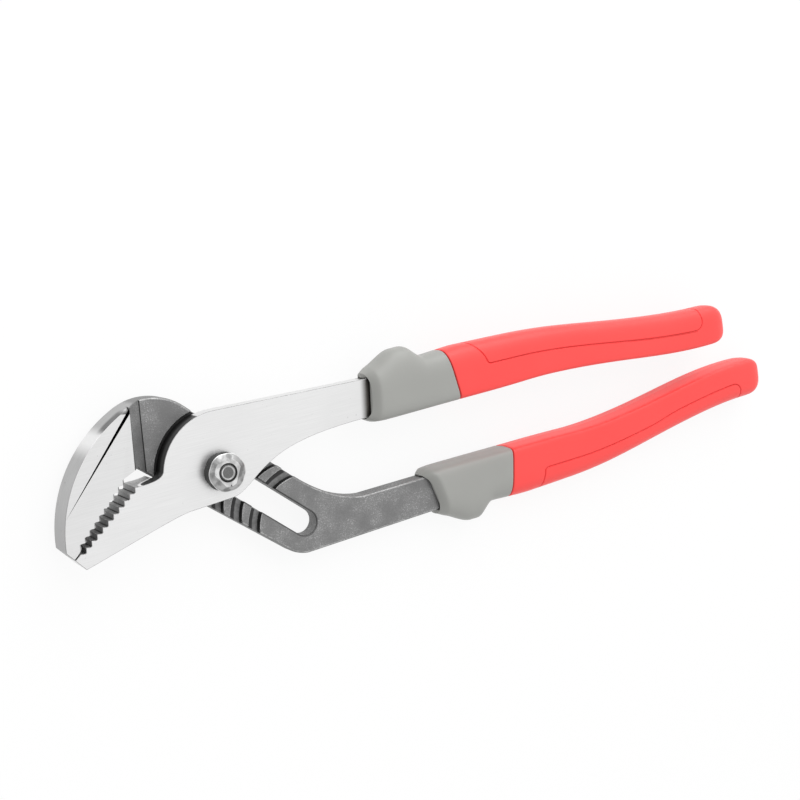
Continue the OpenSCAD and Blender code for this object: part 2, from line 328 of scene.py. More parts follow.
def polishedFinish(name, level, turn):
    # fine grinding lines, with painted brown shade and reflection of the collar where the handle goes into
    # its collar
    s = collarShadeMarks
    finish = Finish(name, Metallic=1.0)
    x, y = finish.coordinates("XY")
    lines = finish.noise(1.0, 3.0, finish.stretched((70.0, 3800.0, 900.0), turn))
    broad = finish.noise(38.0, 2.0)
    spots = finish.between(finish.noise(900.0, 2.0), 0.72, 0.77)
    # painted shade and reflection of the collar on the steel just before the collar's mouth
    collarShade = finish.fade(x - y * s["lean"] + lines * (s["ragged"] * mm), *s["edge"])
    tone = finish.mix(finish.between(lines, 0.3, 0.7), grey(level * 0.965), grey(level * 1.02))
    tone = finish.mix(finish.between(broad, 0.35, 0.75) * 0.3, tone, grey(level * 0.92))
    tone = finish.mix(spots * 0.4, tone, grey(level * 0.5))
    finish.give(finish.shader, {
        "Base Color": finish.mix(collarShade * 0.95, tone, s["color"]),
        "Roughness": 0.30 + lines * 0.12 + spots * 0.2,
        "Normal": finish.bump(lines, 0.06, 0.02)})
    return finish


bandMarks = {"paintedHighlight": (15.0, 20.0, 21.5, 24.5), "streak": (22.2, 24.0, 27.5, 28.6), "streakLow": (12.8, 15.2),
             "streakRagged": 3.0, "dull": (-16.0, 8.0), "forged": (-27.5, -24.5)}


def bandFinish():
    # ground outer side of the upper jaw: a painted highlight at the bend, a dark streak above it, forged past
    # the shoulder
    s = bandMarks
    finish = Finish("ground_band_steel", Metallic=1.0)
    x, y, z = finish.coordinates("XYZ")
    lines = finish.noise(1.0, 3.0, finish.stretched((160.0, 160.0, 3200.0)))
    spots = finish.between(finish.noise(700.0, 2.0), 0.70, 0.75)
    # painted highlight across the bend
    paintedHighlight = finish.strip(y, *s["paintedHighlight"])
    above = finish.fade(z + lines * (s["streakRagged"] * mm), *s["streakLow"])
    streak = finish.strip(y, *s["streak"]) * above
    rough = finish.fade(x, *s["forged"])
    tone = finish.mix(finish.between(lines, 0.3, 0.7), grey(0.42), grey(0.51))
    tone = finish.mix(1.0 - finish.fade(y, *s["dull"]), tone, grey(0.385))
    tone = finish.mix(paintedHighlight * 0.9, tone, grey(0.93))
    tone = finish.mix(streak * (0.65 + lines * 0.5), tone, grey(0.12))
    tone = finish.mix(spots * 0.5, tone, grey(0.2))
    finish.give(finish.shader, {
        "Base Color": finish.mix(rough, tone, grey(0.30)),
        "Roughness": 0.34 + lines * 0.14 + rough * 0.2,
        "Normal": finish.bump(lines, 0.08, 0.02)})
    return finish


def forgedFinish(name, level, fleck):
    finish = Finish(name, Metallic=0.85)
    grain = finish.noise(2300.0, 2.0, roughness=0.65)
    patch = finish.noise(150.0, 3.0)
    flecks = finish.between(grain, 0.56, 0.68) * finish.between(patch, 0.42, 0.62)
    mottle = finish.between(patch * 0.5 + grain * 0.5, 0.35, 0.65)
    tone = finish.mix(mottle, grey(level * 0.84), grey(level * 1.14))
    finish.give(finish.shader, {
        "Base Color": finish.mix(flecks * fleck, tone, grey(level * 2.1)),
        "Roughness": 0.62 - flecks * 0.14 + patch * 0.08,
        "Normal": finish.bump(grain, 0.4, 0.06)})
    return finish


def wornLitFinish():
    # rounded outer edges: lighter in fine specks where they turn up towards the flat, partly real wear and
    # partly a painted highlight
    finish = Finish("worn_lit_edge_steel", Metallic=0.9)
    grain = finish.noise(2300.0, 2.0, roughness=0.65)
    patch = finish.noise(180.0, 2.0)
    normal = finish.node("ShaderNodeNewGeometry", out="Normal")
    facing = finish.node("ShaderNodeSeparateXYZ", sockets={0: normal}, out="Z")
    # specks kept to the faces that turn up: real wear with a painted highlight
    wearAndHighlight = finish.between(patch * 0.55 + grain * 0.45, 0.42, 0.58) * finish.between(facing, 0.72, 0.95)
    finish.give(finish.shader, {
        "Base Color": finish.mix(wearAndHighlight, grey(0.27), grey(0.46)),
        "Roughness": 0.6 - wearAndHighlight * 0.12,
        "Normal": finish.bump(grain, 0.3, 0.05)})
    return finish


toothMarks = {"rubbed": (-50.0, -30.0)}


def toothFinish():
    # broached teeth, rubbed lighter towards the throat
    finish = Finish("tooth_steel", Metallic=0.85)
    [x] = finish.coordinates("X")
    grain = finish.noise(1500.0, 3.0, roughness=0.7)
    tone = finish.mix(finish.fade(x, *toothMarks["rubbed"]), grey(0.31), grey(0.51))
    finish.give(finish.shader, {
        "Base Color": finish.mix(finish.between(grain, 0.35, 0.65) * 0.4, tone, grey(0.20)),
        "Roughness": 0.52 + grain * 0.15,
        "Normal": finish.bump(grain, 0.3, 0.06)})
    return finish


# places of the painted shadow and the painted highlight in the throat
throatMarks = {"center": (-24.8, 15.4), "shadowed": (3.9, 4.2), "glint": (4.0, 4.2, 5.0, 5.3),
               "past": (-25.0, -24.4), "pastShadowed": (10.6, 11.2), "pastGlint": (9.9, 10.2, 10.7, 11.0)}


def throatFinish():
    # where the neck's cut runs out in the throat: painted shadow inside, a painted highlight round its end
    s = throatMarks
    finish = Finish("throat_steel")
    x, z = finish.coordinates("XZ")
    grain = finish.noise(1500.0, 3.0, roughness=0.7)
    awayX, awayZ = x - s["center"][0] * mm, z - s["center"][1] * mm
    reach = (awayX * awayX + awayZ * awayZ) ** 0.5
    past = finish.fade(x, *s["past"])
    # painted shadow of the gap under the neck
    inside = (1.0 - finish.fade(reach, *s["shadowed"])) * (1.0 - past)
    inside = (inside + past * finish.fade(z, *s["pastShadowed"])).clamped()
    # painted highlight on the rim of the cut
    glint = finish.strip(reach, *s["glint"]) * (1.0 - past)
    glint = (glint + past * finish.strip(z, *s["pastGlint"])).clamped()
    tone = finish.mix(finish.between(grain, 0.35, 0.65), grey(0.52), grey(0.78))
    tone = finish.mix(inside * 0.92, tone, grey(0.02))
    finish.give(finish.shader, {
        "Base Color": finish.mix(glint, tone, grey(0.95)),
        "Metallic": 0.8 - glint * 0.8,
        "Roughness": 0.5 + grain * 0.12,
        "Normal": finish.bump(grain, 0.3, 0.06)})
    return finish


grooves = {"places": 6, "pitch": 8.3, "webAngle": 43.0, "outer": 22.7, "width": 4.6,
           "outerShadow": 2.5, "outerBlend": 0.4, "innerShadow": 0.5, "innerBlend": 0.5, "slack": 0.1}


def grooveFinish():
    # milled floors, with painted shade along both walls of each arc
    s = grooves
    finish = Finish("groove_floor_steel", Metallic=0.8)
    x, y = finish.coordinates("XY")
    chatter = finish.noise(1.0, 2.0, finish.stretched((900.0, 900.0, 300.0)))
    cosine, sine = math.cos(math.radians(s["webAngle"])), math.sin(math.radians(s["webAngle"]))
    run = x * cosine - y * sine
    outer, inner = s["outer"], s["outer"] - s["width"]
    outerShadow, innerShadow = outer - s["outerShadow"], inner + s["innerShadow"]
    shadowed = 0.0
    for place in range(s["places"]):
        along = place * s["pitch"] * mm
        awayX, awayY = x - along * cosine, y + along * sine
        reach = (awayX * awayX + awayY * awayY) ** 0.5
        sides = finish.fade(reach, outerShadow, outerShadow + s["outerBlend"])
        sides = sides - finish.fade(reach, innerShadow - s["innerBlend"], innerShadow) + 1.0
        onArc = (reach < (outer + s["slack"]) * mm) * (reach > (inner - s["slack"]) * mm)
        # painted shade along the walls of each arc
        shadowed = sides * onArc * (run < along) + shadowed
    tone = finish.mix(finish.between(chatter, 0.35, 0.7), grey(0.19), grey(0.26))
    finish.give(finish.shader, {
        "Base Color": finish.mix(shadowed.clamped() * 0.9, tone, grey(0.03)),
        "Roughness": 0.5 + chatter * 0.15,
        "Normal": finish.bump(chatter, 0.2, 0.04)})
    return finish


paintedShadeMarks = {"upper": (12.8, 15.0), "ragged": 1.0}


def paintedShadeFinish():
    # painted shade in corners, creases, holes and against the neck, darker lower down
    s = paintedShadeMarks
    finish = Finish("painted_shade_dark_steel", Metallic=0.3)
    [z] = finish.coordinates("Z")
    edgeNoise = finish.noise(500.0, 3.0)
    upper = finish.fade(z + edgeNoise * (s["ragged"] * mm), *s["upper"])
    finish.give(finish.shader, {
        "Base Color": finish.mix(upper, grey(0.012), grey(0.075)),
        "Roughness": 0.45 + edgeNoise * 0.2})
    return finish


def boltFinish(name, low, high):
    # plating rubbed in blotches
    finish = Finish(name, Metallic=1.0)
    wear = finish.noise(900.0, 3.0)
    broad = finish.noise(330.0, 3.0)
    finish.give(finish.shader, {
        "Base Color": finish.mix(finish.between(broad, 0.38, 0.62), grey(low), grey(high)),
        "Roughness": 0.34 + wear * 0.16,
        "Normal": finish.bump(wear, 0.25, 0.06)})
    return finish


def gripFinish(name, color, deep, roughness):
    finish = Finish(name, Specular_IOR_Level=0.4)
    grain = finish.noise(2600.0, 2.0, roughness=0.6)
    cloud = finish.noise(40.0, 3.0)
    finish.give(finish.shader, {
        "Base Color": finish.mix(finish.between(cloud, 0.3, 0.75) * 0.5, (*color, 1.0), (*deep, 1.0)),
        "Roughness": roughness + grain * 0.12,
        "Normal": finish.bump(grain, 0.12, 0.03)})
    return finish


faceSteel = polishedFinish("polished_steel", 0.83, 0.0)
jawSteel = polishedFinish("ground_jaw_steel", 0.78, 0.75)
bandSteel = bandFinish()
forgedSteel = forgedFinish("forged_steel", 0.255, 0.6)
shoulderSteel = forgedFinish("shoulder_steel", 0.275, 0.5)
landSteel = forgedFinish("land_steel", 0.27, 0.6)
# darker copy of forged steel: painted shade on the slot's chamfer, the shoulder's edge and the sides of the
# jaw cut
slotEdgeShadeSteel = forgedFinish("slot_edge_shade_steel", 0.13, 0.2)
# rounded outer edges, lighter where they face up: real wear with a painted highlight
wornLitSteel = wornLitFinish()
toothSteel = toothFinish()
throatSteel = throatFinish()
edgeSteel = forgedFinish("eased_edge_steel", 0.46, 0.2)
grooveSteel = grooveFinish()
# near-black finish that paints shade into corners, creases, holes and groove walls
paintedShadeSteel = paintedShadeFinish()
boltSteel = boltFinish("plated_bolt_steel", 0.40, 0.72)
nutSteel = boltFinish("plated_nut_steel", 0.22, 0.46)
# the nut's flat top painted lighter, as painted light
nutTopLitSteel = boltFinish("nut_top_lit_steel", 0.50, 0.74)
boltEndSteel = forgedFinish("bolt_end_steel", 0.17, 0.2)
# the nut's sides painted near black, as painted shade
nutSideShadeSteel = forgedFinish("nut_side_shade_steel", 0.07, 0.3)
redGrip = gripFinish("red_grip", (0.93, 0.068, 0.063), (0.90, 0.060, 0.056), 0.33)
# deeper red painted into the grips' grooves as painted shade
seamShadeRed = gripFinish("red_grip_seam_shade", (0.84, 0.044, 0.043), (0.80, 0.040, 0.039), 0.40)
greyGrip = gripFinish("grey_collar", (0.318, 0.320, 0.304), (0.297, 0.299, 0.283), 0.34)
print("finishes made")


# levers: copies of the CAD solids with eased edges and a finish for each kind of face

frontSizes = {
    "ease": 0.18, "valley": 0.32, "neckRadius": 21.5, "neckSlack": 0.6, "neckAngles": (103.0, 172.0),
    "lapLevel": 10.9, "lapSide": 3.5, "throat": -31.7, "jaws": -20.0}
frontFinishes = {
    "face": faceSteel, "tooth": toothSteel, "paintedShade": paintedShadeSteel, "edge": edgeSteel, "throat": throatSteel}


def frontKind(face):
    s = frontSizes
    center, normal = face.center / mm, face.normal
    angle = math.degrees(math.atan2(center.y, center.x))
    onNeck = abs(math.hypot(center.x, center.y) - s["neckRadius"]) < s["neckSlack"]
    onNeck = onNeck and s["neckAngles"][0] < angle < s["neckAngles"][1]
    if not upright(face):
        return "face"
    # the neck wall and the lap's side get painted shade
    if onNeck or (center.z < s["lapLevel"] and center.y > s["lapSide"]):
        return "paintedShade"
    if s["throat"] < center.x < s["jaws"] and normal.y > 0.5:
        return "throat"
    if center.x < s["jaws"] and normal.y > 0.1 or normal.x < -0.9:
        return "tooth"
    return "face"


def makeFrontLever():
    s, index = frontSizes, numbered(frontFinishes)
    piece = copyOfNode("front_lever", "frontLever")
    paintFaces(piece, frontFinishes, frontKind)
    # tooth valleys are rounded with painted shade
    easeEdges(piece, s["valley"], 1, lambda edge: inwardCorner(edge) and edgeRise(edge) > 1, index["paintedShade"])
    easeEdges(piece, s["ease"], 2, outwardCorner, index["edge"])
    keepWithin(piece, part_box("front_lever"))
    finishShading(piece)
    settle(piece, "front_half", "front_lever")


rearSizes = {
    "ease": 0.26, "jawEase": 0.2, "faceEase": 0.32, "crease": 0.3, "outerEase": 0.8, "slotEase": 0.5,
    "grooveEase": 0.24, "webTop": 10.75, "topSlack": 0.02, "faceTop": 16.75, "grooveFloor": 8.55,
    "slack": 0.1, "jaws": -20.0, "crown": -12.0, "bandLow": 8.0, "landArea": 80.0,
    "slotLength": 41.5, "slotHalf": 4.65, "slotSlack": 0.15,
    "jawCorner": (-30.0, 27.3), "jawCornerTilt": (0.234, 1.172), "shoulder": (-30.58, 2.68),
    "shoulderTilt": 5.0, "cutter": 10.0, "cutterShift": (-4.85, 2.0),
    "knot": 0.35, "knotAt": (-28.277, 29.094, 14.19), "knotReach": 0.2}
rearFinishes = {
    "forged": forgedSteel, "jaw": jawSteel, "band": bandSteel, "tooth": toothSteel, "groove": grooveSteel,
    "wornLit": wornLitSteel, "paintedShade": paintedShadeSteel, "shoulder": shoulderSteel, "land": landSteel, "slot": slotEdgeShadeSteel,
    "edge": edgeSteel}
rearIndex = numbered(rearFinishes)


def rearKind(face, vertices):
    s = rearSizes
    center, normal = face.center / mm, face.normal
    lowest = min(vertices[index].co.z for index in face.vertices) / mm
    # the groove walls get painted shade
    if upright(face) and lowest > s["grooveFloor"] - s["slack"] and center.z < s["webTop"]:
        return "paintedShade"
    if center.z > s["faceTop"] - s["slack"] and facesUp(face):
        return "jaw"
    if upright(face) and center.x < s["jaws"] and normal.y < -0.1 and normal.x > -0.5:
        return "tooth"
    if upright(face) and center.x < s["crown"] and center.z > s["bandLow"]:
        return "band"
    if abs(center.z - s["grooveFloor"]) < s["slack"] and facesUp(face):
        return "groove"
    if 0.2 < normal.z < 0.9:
        return "shoulder"
    if facesUp(face) and center.z > s["webTop"] - s["slack"] and face.area < s["landArea"] * mm * mm:
        return "land"
    return "forged"


def cutJawCorner(piece):
    # flat ground across the top corner of the upper jaw's face, up to the shoulder
    s = rearSizes
    atX, atY = s["jawCorner"]
    slopeX, slopeY = s["jawCornerTilt"]
    shiftX, shiftY = s["cutterShift"]
    turn = math.radians(s["shoulderTilt"])
    edgeX = s["shoulder"][0] + (atY - s["shoulder"][1]) * math.tan(turn)
    deselectAll()
    bpy.ops.mesh.primitive_cube_add(
        size=s["cutter"] * mm, rotation=(0.0, 0.0, -turn),
        location=((edgeX + shiftX) * mm, (atY + shiftY) * mm, s["faceTop"] * mm))
    tool = bpy.context.object
    bpy.ops.object.transform_apply(location=True, rotation=True, scale=True)
    for vertex in tool.data.vertices:
        if vertex.co.z < s["faceTop"] * mm:
            drop = slopeX * (vertex.co.x - atX * mm) + slopeY * (vertex.co.y - atY * mm)
            vertex.co.z = s["faceTop"] * mm - drop
    # the cut's sides take the darker painted shade
    paintFaces(tool, rearFinishes, lambda face: "band" if face.normal.z < -0.3 else "slot")
    cutWith(piece, tool)


def edgeBetween(edge, kinds):
    # outward edge whose two faces have these finishes
    found = {side.material_index for side in edge.link_faces}
    return outwardCorner(edge) and found == {rearIndex[kind] for kind in kinds}


def besideKind(edge, kind):
    return any(side.material_index == rearIndex[kind] for side in edge.link_faces)


def besideSlot(point):
    # true for a point of the rear lever that lies on the slot's wall
    s = rearSizes
    turn = math.radians(grooves["webAngle"])
    along = point.x / mm * math.cos(turn) - point.y / mm * math.sin(turn)
    across = point.x / mm * math.sin(turn) + point.y / mm * math.cos(turn)
    past = along - min(s["slotLength"], max(0.0, along))
    return math.hypot(past, across) < s["slotHalf"] + s["slotSlack"]


def onWebTop(edge):
    s = rearSizes
    level = all(abs(vertex.co.z / mm - s["webTop"]) < s["topSlack"] for vertex in edge.verts)
    return level and outwardCorner(edge)


def creaseEdge(edge):
    return inwardCorner(edge) and not besideKind(edge, "slot")


def jawEdge(edge):
    return edgeBetween(edge, {"jaw", "band"}) or edgeBetween(edge, {"band"})


def shoulderEdge(edge):
    return edgeBetween(edge, {"jaw", "shoulder"})


def slotEdge(edge):
    return onWebTop(edge) and all(besideSlot(vertex.co) for vertex in edge.verts)


def grooveEdge(edge):
    return onWebTop(edge) and besideKind(edge, "paintedShade")


def outerEdge(edge):
    return onWebTop(edge) and not slotEdge(edge) and not grooveEdge(edge)


def leftEdge(edge):
    # what the other rounds left sharp, but for the cut's sides and the tops of the teeth
    return outwardCorner(edge) and not besideKind(edge, "slot") and not edgeBetween(edge, {"jaw", "tooth"})


def makeRearLever():
    s = rearSizes
    piece = copyOfNode("rear_lever", "rearLever")
    paintFaces(piece, rearFinishes, lambda face: rearKind(face, piece.data.vertices))
    cutJawCorner(piece)
    # creases are rounded with painted shade
    for width, segments, test, kind in (
            ("crease", 1, creaseEdge, "paintedShade"),
            ("jawEase", 4, jawEdge, "band"),
            # the shoulder's edge and the slot's chamfer take the darker painted shade
            ("faceEase", 2, shoulderEdge, "slot"),
            ("slotEase", 4, slotEdge, "slot"),
            ("outerEase", 4, outerEdge, "wornLit"),
            ("grooveEase", 4, grooveEdge, "edge"),
            ("ease", 2, leftEdge, "wornLit")):
        easeEdges(piece, s[width], segments, test, rearIndex[kind])
    mergeClose(piece, meshSizes["merge"], lambda point: True)
    mergeClose(piece, s["knot"], lambda point: (point - Vector(s["knotAt"])).length < s["knotReach"])
    keepWithin(piece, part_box("rear_lever"))
    finishShading(piece)
    settle(piece, "rear_half", "rear_lever")


makeFrontLever()
makeRearLever()
print("levers made")


# bolt and staked nut

boltSizes = {"ease": 0.1, "end": 22.0, "chamfer": 1.0, "endRim": 0.42, "dish": 0.25}
boltFinishes = {"plated": boltSteel, "end": boltEndSteel, "paintedShade": paintedShadeSteel}


def boltKind(face):
    s = boltSizes
    atEnd = face.center.z > (s["end"] - s["chamfer"]) * mm
    # the chamfer round the bolt's end gets painted shade
    return "paintedShade" if 0.3 < face.normal.z < 0.9 and atEnd else "plated"


def onBoltEnd(face):
    return face.normal.z > 0.99 and face.calc_center_median().z > (boltSizes["end"] - 0.05) * mm


def makeBolt():
    s = boltSizes
    piece = copyOfNode("pivot_bolt", "pivotBolt")
    paintFaces(piece, boltFinishes, boltKind)
    easeEdges(piece, s["ease"], 2, outwardCorner)
    pick(piece, "FACE", onBoltEnd)
    bpy.ops.mesh.inset(thickness=s["endRim"] * mm, depth=-s["dish"] * mm)
    mesh = bmesh.from_edit_mesh(piece.data)
    for face in mesh.faces:
        if face.select:
            face.material_index = numbered(boltFinishes)["end"]
    bmesh.update_edit_mesh(piece.data)
    bpy.ops.object.mode_set(mode="OBJECT")
    finishShading(piece)
    settle(piece, "rear_half", "pivot_bolt")


nutSizes = {
    "base": 16.9, "wall": 4.1, "cone": 0.9, "flats": 13.3, "cornerRound": 2.8, "sideCuts": 3,
    "brim": 0.22, "brimSlope": 0.6, "lobe": 4.95, "side": 3.95, "crimps": 3, "crimpTurn": 35.0,
    "hole": 3.25, "holeSides": 64, "drill": 12.0, "drillAt": 19.0, "countersink": 0.15, "slack": 0.1,
    "stakeAt": (0.3, -4.9), "stakeRadius": 1.0, "stakeDepth": 0.9, "stakeStretch": (0.8, 1.5, 1.0),
    "smoothAngle": 16.0}
# the plating is painted lighter on the flat top and near black on the sides, as painted light and shade; the
# hole gets painted shade
nutFinishes = {"cone": nutSteel, "hole": paintedShadeSteel, "side": nutSideShadeSteel, "top": nutTopLitSteel}
nutTop = nutSizes["base"] + nutSizes["wall"] + nutSizes["cone"]


def nutKind(face):
    s = nutSizes
    inHole = face.center.xy.length < (s["hole"] + s["slack"]) * mm
    onBrim = face.center.z < (nutTop - s["cone"] + 0.15) * mm
    if upright(face):
        return "hole" if inHole else "side"
    return "top" if face.normal.z > 0.98 or onBrim else "cone"


def holeRim(edge):
    s = nutSizes
    return outwardCorner(edge) and all(
        vertex.co.xy.length < (s["hole"] + s["slack"]) * mm and vertex.co.z > (nutTop - s["slack"]) * mm
        for vertex in edge.verts)


def makeNut():
    # six-sided, its corners turned down, its cone pressed in at three places so that it can't loosen
    s = nutSizes
    third = 2 * math.pi / s["crimps"]
    deselectAll()
    bpy.ops.mesh.primitive_cylinder_add(
        vertices=6, radius=s["flats"] / math.sqrt(3) * mm, depth=s["wall"] * mm,
        location=(0.0, 0.0, (s["base"] + s["wall"] / 2) * mm), rotation=(0.0, 0.0, math.radians(30)))
    piece = bpy.context.object
    piece.name = "pivotNut"
    bpy.ops.object.transform_apply(location=True, rotation=True, scale=True)
    easeEdges(piece, s["cornerRound"], 8, lambda edge: edgeRise(edge) > 1)
    pick(piece, "EDGE", lambda edge: edgeRise(edge) < 0.1)
    bpy.ops.mesh.subdivide(number_cuts=s["sideCuts"])
    pick(piece, "FACE", facesUp)
    bpy.ops.mesh.inset(thickness=s["brim"] * mm, depth=s["brim"] * s["brimSlope"] * mm)
    bpy.ops.mesh.extrude_region_move(TRANSFORM_OT_translate={"value": (0.0, 0.0, 0.0)})
    mesh = bmesh.from_edit_mesh(piece.data)
    for vertex in {corner for face in mesh.faces if face.select for corner in face.verts}:
        angle = math.atan2(vertex.co.y, vertex.co.x)
        fromSide = (angle - math.radians(s["crimpTurn"])) % third - third / 2
        reach = min(s["lobe"], s["side"] / math.cos(fromSide))
        vertex.co = Vector((reach * math.cos(angle), reach * math.sin(angle), nutTop)) * mm
    bmesh.update_edit_mesh(piece.data)
    deselectAll()
    bpy.ops.mesh.primitive_cylinder_add(
        vertices=s["holeSides"], radius=s["hole"] * mm, depth=s["drill"] * mm,
        location=(0.0, 0.0, s["drillAt"] * mm))
    cutWith(piece, bpy.context.object)
    paintFaces(piece, nutFinishes, nutKind)
    easeEdges(piece, s["countersink"], 1, holeRim, numbered(nutFinishes)["hole"])
    deselectAll()
    bpy.ops.mesh.primitive_cone_add(
        vertices=4, radius1=s["stakeRadius"] * mm, depth=s["stakeDepth"] * mm, rotation=(math.pi, 0.0, 0.0),
        location=Vector((*s["stakeAt"], nutTop)) * mm)
    punch = bpy.context.object
    bpy.ops.transform.resize(value=s["stakeStretch"])
    cutWith(piece, punch)
    smoothShade(piece, s["smoothAngle"])
    settle(piece, "rear_half", "pivot_nut")


makeBolt()
makeNut()
print("bolt and nut made")


# grips: rings of points that follow the handle, in millimetres from the collar's mouth

gripSizes = {
    "length": 180.8, "width": 20.0, "endWidth": 16.4, "thickness": 15.0, "collar": 37.5, "taper": 90.0,
    "stopHeight": 5.3, "stopRise": 15.5, "stopFall": 19.5, "stopFallRun": 8.6,
    "endRun": 9.0, "endPower": 2.45, "bow": 0.6, "bowRun": 45.0, "bendStart": 70.0, "bendRun": 100.0,
    "rimY": 1.0, "rimZ": 2.6, "rimRun": 3.2, "rimPower": 1.35, "lipBack": 1.8, "lipRun": 14.0,
    "mouthTaper": 1.0, "mouthRun": 8.0, "mouthPower": 4.5, "powerRun": 60.0, "endPowerRun": 38.0,
    "outerPower": 2.9, "innerPower": 8.5, "innerDraft": 0.055, "samples": 2401,
    "collarSlant": -0.17, "jointGap": 0.2, "jointEase": 0.48, "easeSegments": 3, "smoothAngle": 50.0,
    "tangWidth": 14.3, "tangEndWidth": 10.0, "tangLength": 150.0,
    "pocketPlay": 0.2, "sidePlay": 0.4, "pocketSquare": 1.4142}
padSizes = {
    "start": 53.2, "end": 165.5, "rise": 0.8, "swellStart": 27.5, "swellRun": 22.0, "slantFade": 40.0,
    "startCorner": 1.4, "startCurve": 9.0, "endCorner": 4.5, "gap": 0.03, "ease": 0.4,
    "depth": 1.3, "thickness": 1.2, "rows": 110, "columns": 22}
upperGrip = {
    "name": "upper", "body": "front_half", "mouth": 60.0, "middle": 12.4, "level": 13.825, "side": 1,
    "sweep": 6.5, "mouthSlant": 0.13, "tangThick": 5.85, "padSlant": -0.45,
    "seamFirst": 1.5, "seamLast": 0.0, "seamBend": 53.2, "seamBendRun": 90.0}
lowerGrip = {
    "name": "lower", "body": "rear_half", "mouth": 84.5, "middle": -31.603, "level": 7.5, "side": -1,
    "sweep": 9.6, "mouthSlant": 0.28, "tangThick": 6.5, "padSlant": -0.2,
    "seamFirst": 1.95, "seamLast": 1.0, "seamBend": 110.0, "seamBendRun": 18.0}


def ease(t):
    t = min(1.0, max(0.0, t))
    return t * t * (3 - 2 * t)


def gripMiddle(x, grip):
    s = gripSizes
    bend = ease((x - s["bendStart"]) / s["bendRun"])
    return s["bow"] * ease(x / s["bowRun"]) - (grip["sweep"] + s["bow"]) * bend


def gripSlant(x, y, grip):
    # how far the ends of the collar and the pad lean along the handle
    s, p = gripSizes, padSizes
    if x < s["collar"]:
        return (grip["mouthSlant"] + (s["collarSlant"] - grip["mouthSlant"]) * x / s["collar"]) * y
    toPad = ease((x - s["collar"]) / (p["start"] - s["collar"]))
    fade = 1 - ease((x - p["start"]) / p["slantFade"])
    curved = grip["padSlant"] * y * abs(y) / p["startCurve"]
    return (s["collarSlant"] * y * (1 - toPad) + curved * toPad) * fade


def tangHalf(x):
    s = gripSizes
    return (s["tangWidth"] + (s["tangEndWidth"] - s["tangWidth"]) * min(1.0, x / s["tangLength"])) / 2


def sectionSizes(x):
    # how far a section reaches to its outer side, to its inner side and up
    s, p = gripSizes, padSizes
    rim = (1 - x / s["rimRun"]) ** s["rimPower"] if x < s["rimRun"] else 0.0
    u = min(1.0, max(0.0, (x - s["length"] + s["endRun"]) / s["endRun"]))
    roundEnd = max(0.0, 1 - u ** s["endPower"]) ** (1 / s["endPower"])
    width = s["width"] + (s["endWidth"] - s["width"]) * ease((x - s["collar"]) / s["taper"])
    half = width / 2 - s["rimY"] * rim
    stop = s["stopHeight"] * (ease(x / s["stopRise"]) - ease((x - s["stopFall"]) / s["stopFallRun"]))
    swell = p["rise"] * ease((x - p["swellStart"]) / p["swellRun"])
    inner = half - s["mouthTaper"] * max(0.0, 1 - x / s["mouthRun"]) ** 2
    high = s["thickness"] / 2 - s["rimZ"] * rim
    return roundEnd * (half + stop + swell), roundEnd * inner, roundEnd * high


class HalfSection:
    # upper half of a grip's section, from its outer side to its inner side, measured along the surface

    def __init__(self, x):
        s = gripSizes
        outer, inner, high = sectionSizes(x)
        turn = np.linspace(0.0, np.pi, s["samples"])
        c, d = np.cos(turn), np.maximum(np.sin(turn), 0.0)
        innerPower = s["mouthPower"] + (s["innerPower"] - s["mouthPower"]) * ease(
            min(x / s["powerRun"], (s["length"] - x) / s["endPowerRun"]))
        power = np.where(c > 0, s["outerPower"], innerPower)
        rise = d ** (2 / power)
        draft = np.where(c > 0, 0.0, s["innerDraft"]) * rise
        self.y = np.where(c > 0, outer, inner) * np.sign(c) * np.abs(c) ** (2 / power) * (1 - draft)
        self.z = high * rise
        self.lift = d
        self.run = np.concatenate([[0.0], np.cumsum(np.hypot(np.diff(self.y), np.diff(self.z)))])
        self.length = float(self.run[-1])

    def at(self, t):
        return [float(np.interp(t, self.run, values)) for values in (self.y, self.z, self.lift)]

    def runTo(self, y):
        return float(np.interp(-y, -self.y, self.run))


sections = {}


def sectionAt(x):
    key = round(x, 3)
    if key not in sections:
        sections[key] = HalfSection(key)
    return sections[key]


def gripPoint(x, y, z, lift, grip):
    # lift is 1 in the middle of the flat faces and 0 at the sides, where the mouth reaches furthest
    s = gripSizes
    along = x + gripSlant(x, y, grip) + s["lipBack"] * lift * lift * (1 - ease(x / s["lipRun"]))
    across = gripMiddle(x, grip) + y
    return Vector((grip["mouth"] + along, grip["middle"] + grip["side"] * across, grip["level"] + z)) * mm


def surfacePoint(x, t, back, grip):
    y, z, lift = sectionAt(x).at(t)
    return gripPoint(x, y, -z if back else z, lift, grip)


def fullRing(x, count, grip):
    half = count // 2
    length = sectionAt(x).length
    front = [surfacePoint(x, length * index / half, False, grip) for index in range(half)]
    return front + [surfacePoint(x, length * (1 - index / half), True, grip) for index in range(half)]


def pocketRing(x, count, grip, play):
    s = gripSizes
    wide, high = tangHalf(x) + play * s["sidePlay"], grip["tangThick"] / 2 + play
    ring = []
    for index in range(count):
        turn = 2 * math.pi * index / count
        c, d = [max(-1.0, min(1.0, s["pocketSquare"] * value)) for value in (math.cos(turn), math.sin(turn))]
        ring.append(gripPoint(x, c * wide, d * high, abs(d), grip))
    return ring


